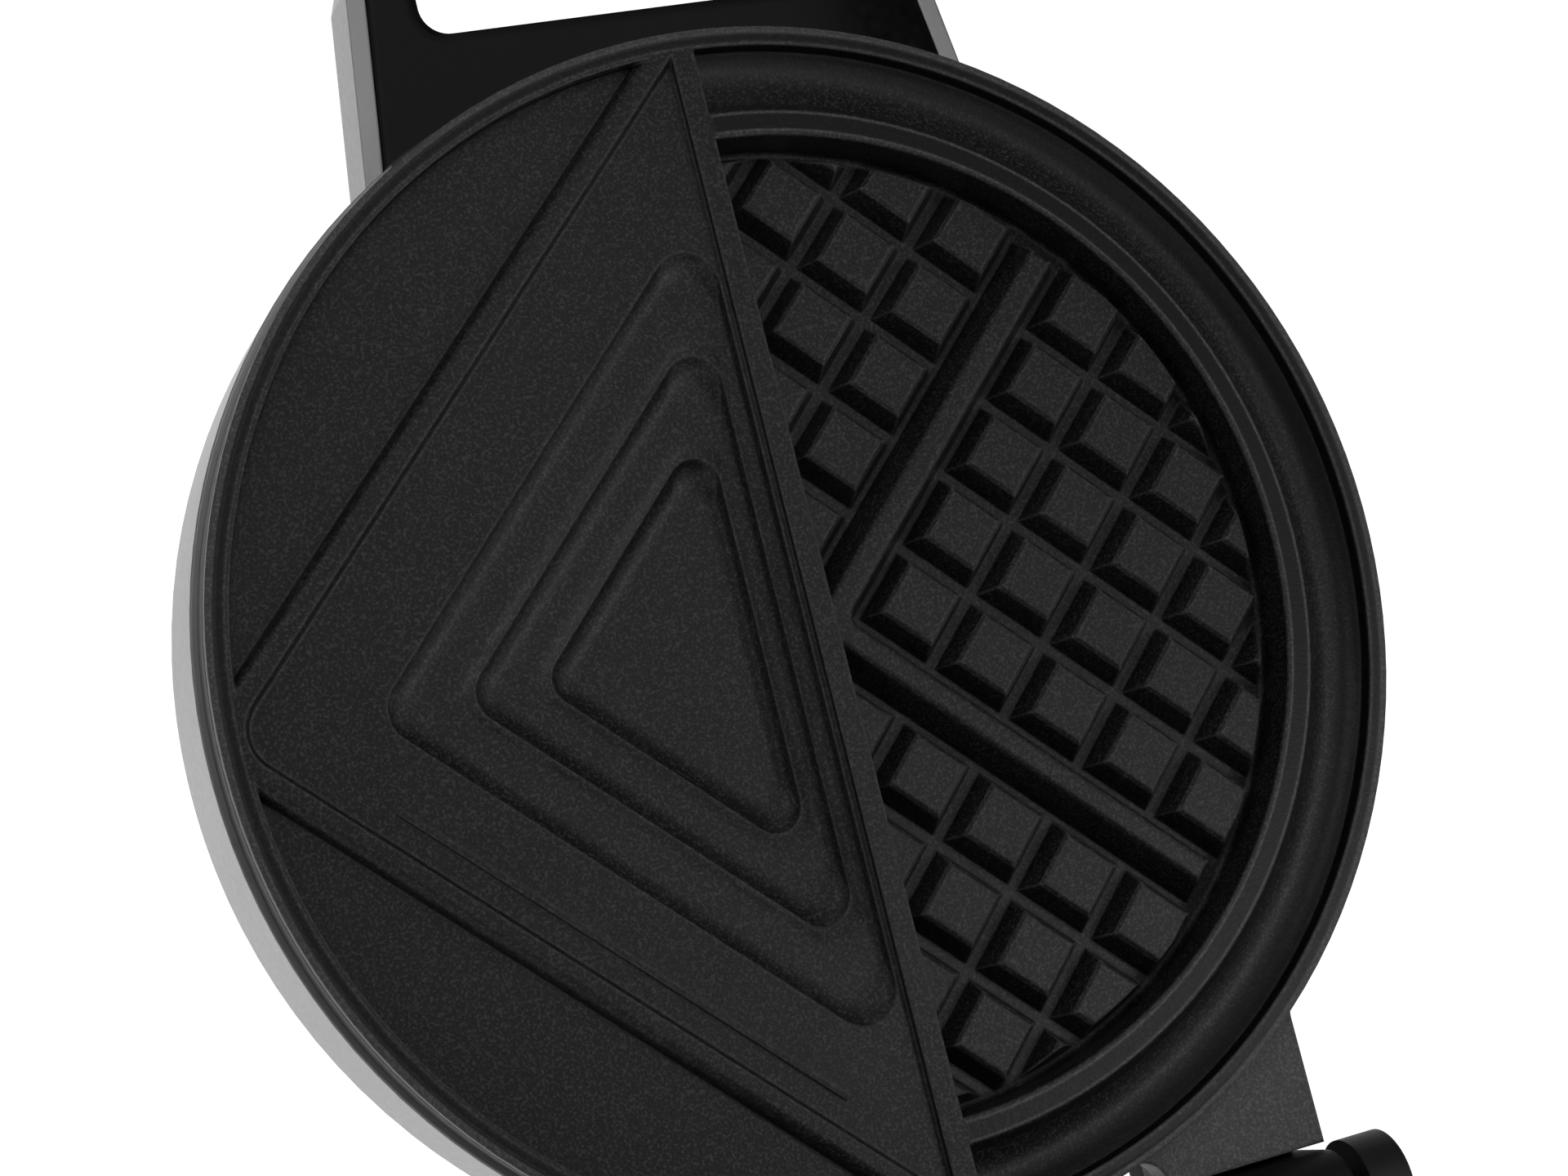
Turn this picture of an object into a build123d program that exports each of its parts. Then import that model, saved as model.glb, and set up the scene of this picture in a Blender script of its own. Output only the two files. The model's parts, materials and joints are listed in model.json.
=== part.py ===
from build123d import *
import os
from math import acos, cos, radians, sin, sqrt, tan

# Round sandwich maker with a hinged lid, shown open. Sizes in millimetres.
# World frame: Z up, the table at Z = 0, the handle towards -Y, the hinge towards +Y,
# the origin at the middle of the open appliance's footprint.
# Each half is drawn in its own plate frame: the origin at the plate's centre in the rim
# plane, X to the right, Y towards the handle, Z out of the cooking face.

# Stance and hinge
open_angle = 105.0
hinge_reach = 9.7
hinge_pin_radius = 3.0
running_clearance = 0.06
seat_gap = 0.2
part_gap = 0.3

# Plate casting
rim_radius = 104.8
rim_land = 3.4
rim_step_width = 1.4
rim_step_depth = 0.3
flange_thickness = 2.5
flange_width = 3.8
plate_thickness = 12.0
divider_left = -3.8
divider_right = 0.3
above_rim = 1.0

# Waffle half
moat_depth = 4.4
moat_reach = 15.4
crest_width = 4.0
well_wall = 1.2
well_depth = 9.0
cell_pitch = 15.82
cell_first = 12.52
cell_base = 14.1
cell_height = 5.2
cell_draft = 20.0
cell_edge = 0.5
cell_count = 5
cell_margin = 2.5
ridge_width = 9.0
ridge_margin = 2.7
ridge_height = 7.0
ridge_draft = 19.0
ridge_round = 1.2

# Sandwich half
recess_depth = 3.0
frame_upper = 76.3
frame_lower = 74.9
frame_width = 2.3
frame_slope = 2.1
frame_draft = 32.0
frame_corner = 7.5
bread_depth = 1.6
pocket_legs = (56.6, 45.6, 35.7)
pocket_backs = (4.7, 7.7, 11.4)
pocket_floors = (4.0, 6.6, 9.2)
pocket_corners = (6.0, 5.2, 4.6)
pocket_cove = 4.6
step_roll_radius = 19.0
step_roll_angle = 12.0
deepest_back_share = 0.6
crumb_rib_offset = 67.0
crumb_rib_width = 1.2
crumb_rib_height = 0.7
crumb_rib_start = -45.3
crumb_rib_end = 41.9

# Hinge lugs of the upper plate
lug_inner = 35.0
lug_outer = 65.5
lug_clearance = 1.0
lug_drop = 3.0
lug_round = 5.0

# Lid frame and cover
band_bottom = 8.3
skirt_bottom = 20.0
ledge_width = 7.0
ledge_thickness = 2.5
cover_overhang = 1.2
cover_wall = 1.9
cover_depth = 42.0
cover_crown = 1.6
cover_corner = 11.0
face_drop = 15.5
face_thickness = 3.0
face_inset = 3.6
handle_root_half = 57.5
handle_overlap = 14.8
handle_mid_half = 53.0
handle_waist = 20.2
handle_tip_half = 42.0
handle_reach = 48.7
handle_corner = 13.0
handle_depth = 33.0
handle_round = 5.0
slot_half = 41.0
slot_reach = 10.2
slot_width = 20.0
slot_corner = 5.0
slot_wall = 2.0
slot_recess = 1.2
slot_recess_depth = 0.4
barrel_radius = 7.5
arm_step = 1.0
arm_margin = 1.5
arm_back = 20.0

# Latch
latch_stand = 4.0
latch_pivot_drop = 22.0
latch_pin_radius = 1.5
latch_barrel_radius = 3.6
latch_half = 13.0
latch_ear_width = 4.0
latch_plate = 2.6
latch_hook = 7.0
latch_free_angle = 90.0

# Base housing
base_depth = 40.5
foot_height = 5.5
base_wall = 2.5
base_corner_inset = 8.0
base_corner_height = 30.0
opening_overlap = 6.0
base_handle_top = 4.0
base_handle_depth = 24.0
lip_thickness = 8.0
lip_cut_half = 17.0
lip_cut_length = 9.0
block_half = 76.0
block_tail = 4.5
block_length = 49.0
block_top = 9.5
block_corner = 9.0
ear_gap = 2.3
ear_width = 7.7
ear_radius = 8.5
bottom_cover_inset = 14.0
bottom_cover_thickness = 2.0
vent_length = 26.0
vent_width = 3.0
vent_pitch = 8.0
vent_rows = 7
foot_radius = 6.5
foot_inset = 7.2
foot_rear_x = 60.0
foot_rear_inset = 12.5
foot_stem_radius = 2.5
foot_stem = 4.0

# Heating parts behind each plate
tube_radius = 3.3
tube_ring = 62.0
tube_gap = 36.0
cold_pin_radius = 1.2
cold_pin = 9.0
clamp_reach = 12.0
clamp_boss_radius = 4.5
clamp_width = 11.0
clamp_thickness = 1.2
screw_radius = 1.6
screw_head_radius = 3.2
screw_head = 1.8
screw_bite = 5.0
shield_inset = 12.0
shield_drop = 24.0
shield_sheet = 0.8
shield_boss_inset = 11.0
shield_boss_radius = 4.5
ledge_screw_inset = 3.4
fuse_radius = 2.2
fuse_length = 13.0
fuse_at = 27.0
thermostat_radius = 11.0
thermostat_height = 7.0
thermostat_ear = 32.0

# Cord inlet and wiring pieces
gland_drop = 26.0
gland_radius = 7.0
gland_flange = 9.5
gland_bore = 3.4
cord_bar_width = 26.0
cord_bar_top = 5.0
cord_bar_arch = 12.0
cord_bar_web = 3.6
gland_nose = 15.0
cord_passage = 4.5
terminal_length = 42.0
terminal_width = 15.0
terminal_height = 8.0
terminal_inset = 12.5

# Lamps
lens_radius = 4.0
lens_flange = 5.6
lens_spread = 13.0
lens_inset = 32.0
board_length = 58.0
board_width = 18.0
board_thickness = 1.6
board_drop = 33.5

# Places and sizes that follow from the ones above
diagonal = Plane(origin=(0, 0, 0), x_dir=(1, -1, 0), z_dir=(0, 0, 1))
hinge_line = Plane.YZ
parting_height = base_depth + foot_height
hinge_offset = rim_radius + hinge_reach
body_radius = rim_radius - flange_width
rim_inner = rim_radius - rim_land
crest_outer_radius = rim_radius - moat_reach
crest_inner = crest_outer_radius - crest_width
well_floor_radius = crest_inner - well_wall
cell_ring_radius = well_floor_radius - cell_margin
ridge_length = 2 * (well_floor_radius - ridge_margin)
recess_radius = body_radius
cover_radius = rim_radius + cover_overhang
ledge_radius = body_radius - ledge_width
ledge_screw_ring = body_radius - ledge_screw_inset
shield_radius = body_radius - shield_inset
shield_boss_ring = shield_radius - shield_boss_inset
clamp_boss_ring = tube_ring - clamp_reach
lug_end = hinge_offset - barrel_radius - lug_clearance
arm_inner = lug_inner + arm_step
arm_outer = lug_outer - arm_margin
ear_inner = arm_outer + ear_gap
ear_outer = ear_inner + ear_width
handle_root_at = rim_radius - handle_overlap
handle_mid_at = rim_radius + handle_waist
handle_tip_at = rim_radius + handle_reach
slot_near = rim_radius + slot_reach
latch_pivot_at = handle_tip_at + latch_stand
base_corner_radius = cover_radius - base_corner_inset
bottom_cover_radius = base_corner_radius - bottom_cover_inset
base_opening = bottom_cover_radius - opening_overlap
block_rear = hinge_offset + block_tail
block_front = block_rear - block_length
foot_ring = base_corner_radius - foot_inset
foot_rear_y = block_rear - foot_rear_inset
terminal_at = base_corner_radius - terminal_inset
lens_at = cover_radius - lens_inset
arm_front = sqrt((shield_radius + shield_sheet + 1.0) ** 2 - arm_inner**2)


# Cutting and joining helpers
def ring_solid(points):
    with BuildPart() as turned:
        with BuildSketch(Plane.XZ):
            with BuildLine():
                Polyline(*points, close=True)
            make_face()
        revolve(axis=Axis.Z)
    return turned.part


def slab(left, right, front, back, low, high):
    with BuildPart() as block:
        with BuildSketch(Plane.XY.offset(low)):
            with Locations(((left + right) / 2, (front + back) / 2)):
                Rectangle(right - left, back - front)
        extrude(amount=high - low)
    return block.part


def disc(radius, low, high):
    with BuildPart() as round_slab:
        with BuildSketch(Plane.XY.offset(low)):
            Circle(radius)
        extrude(amount=high - low)
    return round_slab.part


# Waffle relief: the space that the batter fills
with BuildPart() as waffle_cells:
    with BuildSketch(diagonal.offset(-well_depth)):
        span = cell_first + cell_pitch * (cell_count - 1) / 2
        for side_s in (-1, 1):
            for side_t in (-1, 1):
                with Locations((side_s * span, side_t * span)):
                    with GridLocations(cell_pitch, cell_pitch, cell_count, cell_count):
                        Rectangle(cell_base, cell_base)
    extrude(amount=cell_height, taper=cell_draft)
    chamfer(waffle_cells.edges().group_by(Axis.Z)[-1], length=cell_edge)
    cell_cone = cell_height * sin(radians(cell_draft)) / cos(radians(cell_draft))
    with BuildSketch(Plane.XY.offset(-well_depth)):
        Circle(cell_ring_radius + cell_cone)
    extrude(amount=cell_height, taper=cell_draft, mode=Mode.INTERSECT)

with BuildPart() as quadrant_ridges:
    with BuildSketch(diagonal.offset(-well_depth)):
        Rectangle(ridge_length, ridge_width)
        Rectangle(ridge_width, ridge_length)
    extrude(amount=ridge_height, taper=ridge_draft)
    fillet(quadrant_ridges.edges().group_by(Axis.Z)[-1], radius=ridge_round)

with BuildPart() as waffle_space:
    with BuildSketch(Plane.XZ):
        with BuildLine():
            Line((0, above_rim), (crest_inner, above_rim))
            Line((crest_inner, above_rim), (crest_inner, 0))
            wall_top = (crest_inner - 0.35, -0.6)
            ThreePointArc((crest_inner, 0), (crest_inner - 0.25, -0.2), wall_top)
            wall_foot = (well_floor_radius + 0.5, 1.0 - well_depth)
            Line(wall_top, wall_foot)
            foot_mid = (well_floor_radius + 0.2, 0.25 - well_depth)
            ThreePointArc(wall_foot, foot_mid, (well_floor_radius - 0.6, -well_depth))
            Line((well_floor_radius - 0.6, -well_depth), (0, -well_depth))
            Line((0, -well_depth), (0, above_rim))
        make_face()
        with BuildLine():
            Line((crest_outer_radius, above_rim), (rim_inner, above_rim))
            Line((rim_inner, above_rim), (rim_inner, 0))
            outer_shoulder = (rim_inner - 0.6, 2.0 - moat_depth)
            Line((rim_inner, 0), outer_shoulder)
            inner_shoulder = (crest_outer_radius + 2.0, 1.7 - moat_depth)
            moat_middle = ((rim_inner + crest_outer_radius) / 2 + 0.8, -moat_depth)
            ThreePointArc(outer_shoulder, moat_middle, inner_shoulder)
            crest_foot = (crest_outer_radius + 0.5, -0.5)
            Line(inner_shoulder, crest_foot)
            crest_mid = (crest_outer_radius + 0.18, -0.15)
            ThreePointArc(crest_foot, crest_mid, (crest_outer_radius, 0))
            Line((crest_outer_radius, 0), (crest_outer_radius, above_rim))
        make_face()
    revolve(axis=Axis.Z)
    add(waffle_cells.part, mode=Mode.SUBTRACT)
    add(quadrant_ridges.part, mode=Mode.SUBTRACT)
    waffle_half = slab(divider_right, rim_radius, -rim_radius, rim_radius, -plate_thickness, above_rim)
    add(waffle_half, mode=Mode.INTERSECT)


# Sandwich relief: a framed square for the bread with three nested steps in it.
# The frame's outer wall rises steeply from the recess and rolls over into its top.
with BuildPart() as frame_block:
    for angle in (0, 18, 36, 54, 72, 90):
        rise = recess_depth * sin(radians(angle))
        reach = frame_slope * cos(radians(angle))
        with BuildSketch(diagonal.offset(rise - recess_depth)):
            with Locations((-reach - frame_upper, -reach - frame_lower)):
                Rectangle(2 * rim_radius, 2 * rim_radius, align=(Align.MIN, Align.MIN))
    loft()
    with BuildSketch(diagonal):
        with Locations((-frame_upper, -frame_lower)):
            Rectangle(2 * rim_radius, 2 * rim_radius, align=(Align.MIN, Align.MIN))
    extrude(amount=above_rim)


# One step of the pocket: a cove falls to a nearly level floor, which rolls over
# towards the next step's edge. Along the short way, at the back, it is squeezed.
def pocket_step(number, top):
    leg = pocket_legs[number]
    depth = pocket_floors[number] - top
    deepest = number == len(pocket_legs) - 1
    roll_drop = 0 if deepest else step_roll_radius * (1 - cos(radians(step_roll_angle)))
    steepest = acos(1 - (depth - roll_drop) / pocket_cove)
    run = [pocket_cove * (sin(steepest) - sin(steepest * (1 - i / 5))) for i in range(6)]
    fall = [pocket_cove * (cos(steepest * (1 - i / 5)) - cos(steepest)) for i in range(6)]
    if deepest:
        share = deepest_back_share
        span = run[-1]
        corner_change = -span / 3
    else:
        span = leg - pocket_legs[number + 1]
        share = (pocket_backs[number + 1] - pocket_backs[number]) / span
        corner_change = pocket_corners[number + 1] - pocket_corners[number]
        roll_start = span - step_roll_radius * sin(radians(step_roll_angle))
        run.append((run[-1] + roll_start) / 2)
        fall.append(fall[-1] + 0.01)
        for part in (0.33, 0.67, 1.0):
            lean = radians(step_roll_angle * part)
            run.append(roll_start + step_roll_radius * sin(lean))
            fall.append(depth - roll_drop + step_roll_radius * (1 - cos(lean)))
    with BuildPart() as step:
        for along, down in zip(run, fall):
            tip = (leg - along) * sqrt(2)
            back = pocket_backs[number] + along * share
            with BuildSketch(Plane.XY.offset(-top - down)) as triangle:
                with BuildLine():
                    Polyline((-tip, 0), (-back, tip - back), (-back, back - tip), close=True)
                make_face()
                corner = pocket_corners[number] + corner_change * along / span
                fillet(triangle.vertices(), radius=corner)
        loft()
    return step.part


with BuildPart() as bread_field:
    field_run = bread_depth * tan(radians(frame_draft))
    field_inset = frame_width + field_run
    with BuildSketch(diagonal.offset(-bread_depth)) as field_outline:
        with Locations((field_inset - frame_upper, field_inset - frame_lower)):
            Rectangle(2 * rim_radius, 2 * rim_radius, align=(Align.MIN, Align.MIN))
        inner_corner = min(field_outline.vertices(), key=lambda point: point.X + point.Y)
        fillet(inner_corner, radius=frame_corner - field_run)
    extrude(amount=bread_depth + above_rim, taper=-frame_draft)
    add(disc(recess_radius - 0.3, -bread_depth, above_rim), mode=Mode.INTERSECT)
    with BuildSketch(diagonal.offset(-bread_depth)):
        rib_middle = (crumb_rib_start + crumb_rib_end) / 2
        with Locations((rib_middle, -crumb_rib_offset)):
            Rectangle(crumb_rib_end - crumb_rib_start, crumb_rib_width)
    extrude(amount=crumb_rib_height, mode=Mode.SUBTRACT)
    pocket_tops = (bread_depth,) + pocket_floors[:-1]
    for number, top in enumerate(pocket_tops):
        add(pocket_step(number, top))

with BuildPart() as sandwich_space:
    add(disc(recess_radius, -recess_depth, above_rim))
    add(frame_block.part, mode=Mode.SUBTRACT)
    add(bread_field.part)
    sandwich_half = slab(-rim_radius, divider_left, -rim_radius, rim_radius, -plate_thickness, above_rim)
    add(sandwich_half, mode=Mode.INTERSECT)


# Plate blank with both reliefs and its back
def boss_spots(ring, angles):
    return [(ring * cos(radians(a)), ring * sin(radians(a))) for a in angles]


clamp_spots = boss_spots(clamp_boss_ring, (0, 180))
shield_spots = boss_spots(shield_boss_ring, (45, 135, 225, 315))
ledge_spots = boss_spots(ledge_screw_ring, (20, 160, 200, 340))
tube_drop = plate_thickness + seat_gap + tube_radius
clamp_drop = tube_drop + tube_radius + seat_gap

with BuildPart() as plate_blank:
    with BuildSketch(Plane.XY):
        Circle(rim_radius)
    extrude(amount=-flange_thickness)
    with BuildSketch(Plane.XY.offset(-flange_thickness)):
        Circle(body_radius)
    extrude(amount=flange_thickness - plate_thickness)
    with BuildSketch(Plane.XY):
        Circle(rim_radius)
        Circle(rim_radius - rim_step_width, mode=Mode.SUBTRACT)
    extrude(amount=-rim_step_depth, mode=Mode.SUBTRACT)
    add(waffle_space.part, mode=Mode.SUBTRACT)
    add(sandwich_space.part, mode=Mode.SUBTRACT)
    with BuildSketch(Plane.XY.offset(-plate_thickness)):
        with Locations(*clamp_spots):
            Circle(clamp_boss_radius)
    extrude(amount=plate_thickness - clamp_drop)
    with BuildSketch(Plane.XY.offset(-plate_thickness)):
        with Locations(*shield_spots):
            Circle(shield_boss_radius)
    extrude(amount=plate_thickness - shield_drop)
    with BuildSketch(Plane.XY.offset(-clamp_drop)):
        with Locations(*clamp_spots):
            Circle(screw_radius + seat_gap / 2)
    extrude(amount=screw_bite, mode=Mode.SUBTRACT)
    with BuildSketch(Plane.XY.offset(-shield_drop)):
        with Locations(*shield_spots):
            Circle(screw_radius + seat_gap / 2)
    extrude(amount=screw_bite, mode=Mode.SUBTRACT)
    with BuildSketch(Plane.XY.offset(-plate_thickness)):
        with Locations(*ledge_spots):
            Circle(screw_radius + seat_gap / 2)
    extrude(amount=screw_bite, mode=Mode.SUBTRACT)

# Upper plate: the blank with two hinge lugs
lug_middle = (lug_inner + lug_outer) / 2
lug_width = lug_outer - lug_inner
web_reach = lug_round + 1.0
with BuildPart() as upper_plate:
    add(plate_blank.part)
    with BuildSketch(Plane.XY.offset(-lug_drop)) as lug_web:
        Circle(rim_radius)
        with Locations((-lug_middle, -lug_end), (lug_middle, -lug_end)):
            Rectangle(lug_width, lug_end, align=(Align.CENTER, Align.MIN))
        notches = lug_web.vertices().filter_by(
            lambda point: -rim_radius - 0.5 < point.Y < -lug_outer
            and abs(sqrt(point.X**2 + point.Y**2) - rim_radius) < 0.01
        )
        fillet(notches, radius=lug_round)
        with Locations((-lug_middle, -lug_end), (lug_middle, -lug_end)):
            Rectangle(
                lug_width + 2 * web_reach,
                lug_end - lug_outer,
                align=(Align.CENTER, Align.MIN),
                mode=Mode.INTERSECT,
            )
        Circle(body_radius - 0.5, mode=Mode.SUBTRACT)
    extrude(amount=lug_drop - band_bottom)
    with BuildSketch(Plane.XY.offset(-lug_drop)) as lug_core:
        with Locations((-lug_middle, -lug_end), (lug_middle, -lug_end)):
            Rectangle(lug_width, lug_end - lug_outer, align=(Align.CENTER, Align.MIN))
        Circle(body_radius - 0.5, mode=Mode.SUBTRACT)
    extrude(amount=lug_drop - plate_thickness)

with BuildPart() as lower_plate:
    mirror(plate_blank.part, about=Plane.YZ)
    with BuildSketch(Plane.XY.offset(-plate_thickness)):
        with Locations((-thermostat_ear / 2, 0), (thermostat_ear / 2, 0)):
            Circle(screw_radius + seat_gap / 2)
    extrude(amount=2.0, mode=Mode.SUBTRACT)


# Heating tube, clamps, heat shield, screws and fuse: the same set behind each plate
with BuildPart() as element:
    start = -90 + tube_gap / 2
    with BuildLine():
        heating_arc = CenterArc((0, 0, -tube_drop), tube_ring, start, 360 - tube_gap)
    with BuildSketch(Plane(origin=heating_arc @ 0, z_dir=heating_arc % 0)):
        Circle(tube_radius)
    sweep(path=heating_arc)
    ends = [Plane(origin=heating_arc @ 0, z_dir=-(heating_arc % 0)), Plane(origin=heating_arc @ 1, z_dir=heating_arc % 1)]
    for end in ends:
        with BuildSketch(end):
            Circle(cold_pin_radius)
        extrude(amount=cold_pin)

with BuildPart() as clamps:
    for turn in (0, 180):
        strip_plane = Plane(origin=(0, 0, -clamp_drop)).rotated((0, 0, turn))
        strip_inner = clamp_boss_ring - clamp_boss_radius
        with BuildSketch(strip_plane):
            with Locations((strip_inner, 0)):
                Rectangle(tube_ring + tube_radius + 2 - strip_inner, clamp_width, align=(Align.MIN, Align.CENTER))
        extrude(amount=-clamp_thickness)
    with BuildSketch(Plane.XY.offset(-clamp_drop)):
        with Locations(*clamp_spots):
            Circle(screw_radius + seat_gap)
    extrude(amount=-clamp_thickness, mode=Mode.SUBTRACT)

shield_turned = [
    (0, -shield_drop),
    (shield_radius - 2, -shield_drop),
    (shield_radius, 2 - shield_drop),
    (shield_radius, -plate_thickness - seat_gap),
    (shield_radius + shield_sheet, -plate_thickness - seat_gap),
    (shield_radius + shield_sheet, 1.6 - shield_drop),
    (shield_radius - 1.6, -shield_drop - shield_sheet),
    (0, -shield_drop - shield_sheet),
]
with BuildPart() as heat_shield:
    add(ring_solid(shield_turned))
    with BuildSketch(Plane.XY.offset(-shield_drop)):
        with Locations(*shield_spots):
            Circle(screw_radius + seat_gap)
    extrude(amount=-shield_sheet, mode=Mode.SUBTRACT)
    with BuildSketch(Plane.XY.offset(-shield_drop)):
        with Locations((0, -tube_ring - 6)):
            SlotOverall(34, 12)
    extrude(amount=-shield_sheet, mode=Mode.SUBTRACT)


def screw_set(spots, seat, length):
    with BuildPart() as screws:
        with BuildSketch(Plane.XY.offset(-seat)):
            with Locations(*spots):
                Circle(screw_head_radius)
        extrude(amount=-screw_head)
        chamfer(screws.edges().group_by(Axis.Z)[0], length=screw_head / 2)
        with BuildSketch(Plane.XY.offset(-seat)):
            with Locations(*spots):
                Circle(screw_radius)
        extrude(amount=length)
    return screws.part


ledge_seat = plate_thickness + part_gap + ledge_thickness
clamp_seat = clamp_drop + clamp_thickness
shield_seat = shield_drop + shield_sheet
with BuildPart() as plate_screws:
    add(screw_set(clamp_spots, clamp_seat, clamp_thickness + screw_bite - seat_gap))
    add(screw_set(shield_spots, shield_seat, shield_sheet + screw_bite - seat_gap))
    add(screw_set(ledge_spots, ledge_seat, ledge_seat - plate_thickness + screw_bite - seat_gap))

with BuildPart() as fuse:
    fuse_axis = Plane(
        origin=(-fuse_length / 2, -fuse_at, -plate_thickness - seat_gap - fuse_radius),
        z_dir=(1, 0, 0),
    )
    with BuildSketch(fuse_axis):
        Circle(fuse_radius)
    extrude(amount=fuse_length)
    with BuildSketch(fuse_axis.offset(-5)):
        Circle(fuse_radius / 3)
    extrude(amount=fuse_length + 10)

# Thermostat on the lower plate
with BuildPart() as thermostat:
    with BuildSketch(Plane.XY.offset(-plate_thickness - seat_gap)):
        SlotCenterToCenter(thermostat_ear, 9)
    extrude(amount=-1.0)
    with BuildSketch(Plane.XY.offset(-plate_thickness - seat_gap)):
        Circle(thermostat_radius)
    extrude(amount=-thermostat_height)
    with BuildSketch(Plane.XY.offset(-plate_thickness - seat_gap)):
        with Locations((-thermostat_ear / 2, 0), (thermostat_ear / 2, 0)):
            Circle(screw_radius + seat_gap)
    extrude(amount=-1.0, mode=Mode.SUBTRACT)
    with BuildSketch(Plane.XY.offset(-plate_thickness - seat_gap - thermostat_height)):
        with Locations((-5, 0), (5, 0)):
            Rectangle(0.8, 5)
    extrude(amount=-3.0)

thermostat_spots = [(-thermostat_ear / 2, 0), (thermostat_ear / 2, 0)]
thermostat_seat = plate_thickness + seat_gap + 1.0
thermostat_screws = screw_set(thermostat_spots, thermostat_seat, 1.0 + seat_gap + 1.8)


# Handle outline, shared by lid cover, lid frame and base housing
def handle_profile(inset):
    with BuildSketch() as outline:
        with BuildLine():
            Polyline(
                (-handle_root_half, handle_root_at / 2),
                (-handle_root_half, handle_root_at),
                (-handle_mid_half, handle_mid_at),
                (-handle_tip_half, handle_tip_at),
                (handle_tip_half, handle_tip_at),
                (handle_mid_half, handle_mid_at),
                (handle_root_half, handle_root_at),
                (handle_root_half, handle_root_at / 2),
                close=True,
            )
        make_face()
        tips = outline.vertices().filter_by(lambda point: point.Y > handle_tip_at - 0.01)
        fillet(tips, radius=handle_corner)
        if inset > 0:
            offset(amount=-inset, kind=Kind.INTERSECTION)
    return outline.sketch


def handle_block(inset, low, high):
    with BuildPart() as block:
        with BuildSketch(Plane.XY.offset(low)):
            add(handle_profile(inset))
        extrude(amount=high - low)
    return block.part


def slot_block(grow, low, high):
    with BuildPart() as block:
        with BuildSketch(Plane.XY.offset(low)):
            with Locations((0, slot_near + slot_width / 2)):
                RectangleRounded(2 * (slot_half + grow), slot_width + 2 * grow, slot_corner + grow)
        extrude(amount=high - low)
    return block.part


def both_sides(inner, outer, front, back, low, high):
    left = slab(-outer, -inner, front, back, low, high)
    right = slab(inner, outer, front, back, low, high)
    return left + right


# Lid cover: a pressed shell with its side wall and the handle's outer skin
cover_top = band_bottom + part_gap
cover_inner = cover_radius - cover_wall
with BuildPart() as handle_skin:
    with BuildSketch(Plane.XY.offset(-handle_depth)):
        add(handle_profile(0))
    extrude(amount=handle_depth + part_gap - face_drop)
    fillet(handle_skin.edges().group_by(Axis.Z)[0], radius=handle_round)

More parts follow.
